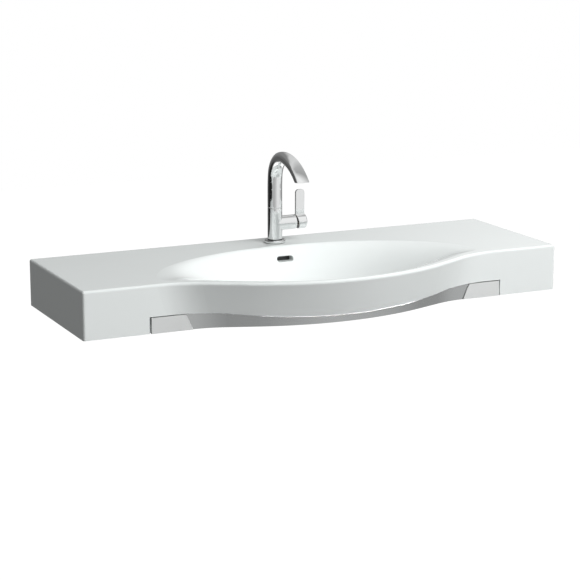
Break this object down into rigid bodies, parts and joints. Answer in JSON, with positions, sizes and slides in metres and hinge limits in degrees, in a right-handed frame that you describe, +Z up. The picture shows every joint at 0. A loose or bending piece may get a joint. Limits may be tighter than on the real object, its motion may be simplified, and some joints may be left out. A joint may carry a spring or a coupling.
{
  "type": "wall-hung washbasin",
  "caption": "Wide wall-hung washbasin: a ceramic slab whose front swells into a bowed bowl, with a side-lever tap, push-down waste and bowed towel rail.",
  "frame": {"origin": "on the wall plane, midway between the two wall bolts, which lie 60 mm below the slab's top", "axes": "+X to the right along the slab's width seen from the front, +Y into the wall, +Z up; the front faces -Y"},
  "size_m": [1.2, 0.5096, 0.3846],
  "materials": {
    "glazed_white": "gloss",
    "chrome": "polished",
    "brass": "satin",
    "zinc_steel": "satin",
    "black_rubber": "matte",
    "clear_gasket": "matte",
    "white_plastic": "matte",
    "grey_plastic": "matte",
    "light_plate": "satin",
    "disc_ceramic": "satin",
    "spring_steel": "polished"
  },
  "bodies": {
    "basin_unit": {"basin": "glazed_white", "towel_rail": "chrome", "rail_end_plate_left": "light_plate", "rail_end_plate_right": "light_plate", "rail_screws": "zinc_steel", "rail_sleeves": "grey_plastic", "rail_inserts": "white_plastic", "tap_base_seal": "black_rubber", "tap_base_ring": "chrome", "tap_body": "chrome", "tap_stud": "zinc_steel", "clamp_rubber": "black_rubber", "clamp_horseshoe": "zinc_steel", "tap_fixing_nut": "brass", "cartridge_seal": "black_rubber", "cartridge_housing": "white_plastic", "cartridge_fixed_disc": "disc_ceramic", "cartridge_cover": "grey_plastic", "cartridge_nut": "brass", "spout_slip_ring": "white_plastic", "spout_stop_screw": "zinc_steel", "waste_flange_seal": "clear_gasket", "waste_body": "chrome", "waste_latch_barrel": "white_plastic", "waste_spring": "spring_steel", "waste_rubber_washer": "black_rubber", "waste_slip_washer": "white_plastic", "waste_back_nut": "brass"},
    "spout_arm": {"spout": "chrome", "outlet_seal": "black_rubber", "outlet_insert": "grey_plastic", "spout_sealing_rings": "black_rubber"},
    "carrier": {"cartridge_carrier": "grey_plastic", "cartridge_pivot_pin": "zinc_steel"},
    "lever_arm": {"cartridge_stem": "brass", "lever": "chrome", "lever_grub_screw": "zinc_steel", "lever_plug": "chrome"},
    "moving_disc": {"cartridge_moving_disc": "disc_ceramic"},
    "plug": {"waste_plug": "chrome", "waste_plug_seal": "black_rubber", "waste_plug_stem": "brass"}
  },
  "joints": [
    {"name": "spout_swivel", "type": "hinge", "parent": "basin_unit", "child": "spout_arm", "pos_m": [0, -0.065, 0.146], "axis": [0, 0, 1], "range_deg": [-60, 60]},
    {"name": "lever_turn", "type": "hinge", "parent": "basin_unit", "child": "carrier", "pos_m": [0.032, -0.065, 0.107], "axis": [1, 0, 0], "range_deg": [-45, 45]},
    {"name": "lever_tilt", "type": "hinge", "parent": "carrier", "child": "lever_arm", "pos_m": [0.032, -0.065, 0.107], "axis": [0, 1, 0], "range_deg": [0, 20]},
    {"name": "disc_slide", "type": "slide", "parent": "carrier", "child": "moving_disc", "axis": [0, 0, 1], "range_m": [0, 0.0038]},
    {"name": "plug_press", "type": "slide", "parent": "basin_unit", "child": "plug", "axis": [0, 0, -1], "range_m": [0, 0.009], "stiffness_N_per_m": 400, "springref_m": -0.008, "deforming": ["waste_spring"]}
  ],
  "couplings": [
    {"joint": "disc_slide", "follows": "lever_tilt", "m_per_rad": 0.0106}
  ]
}
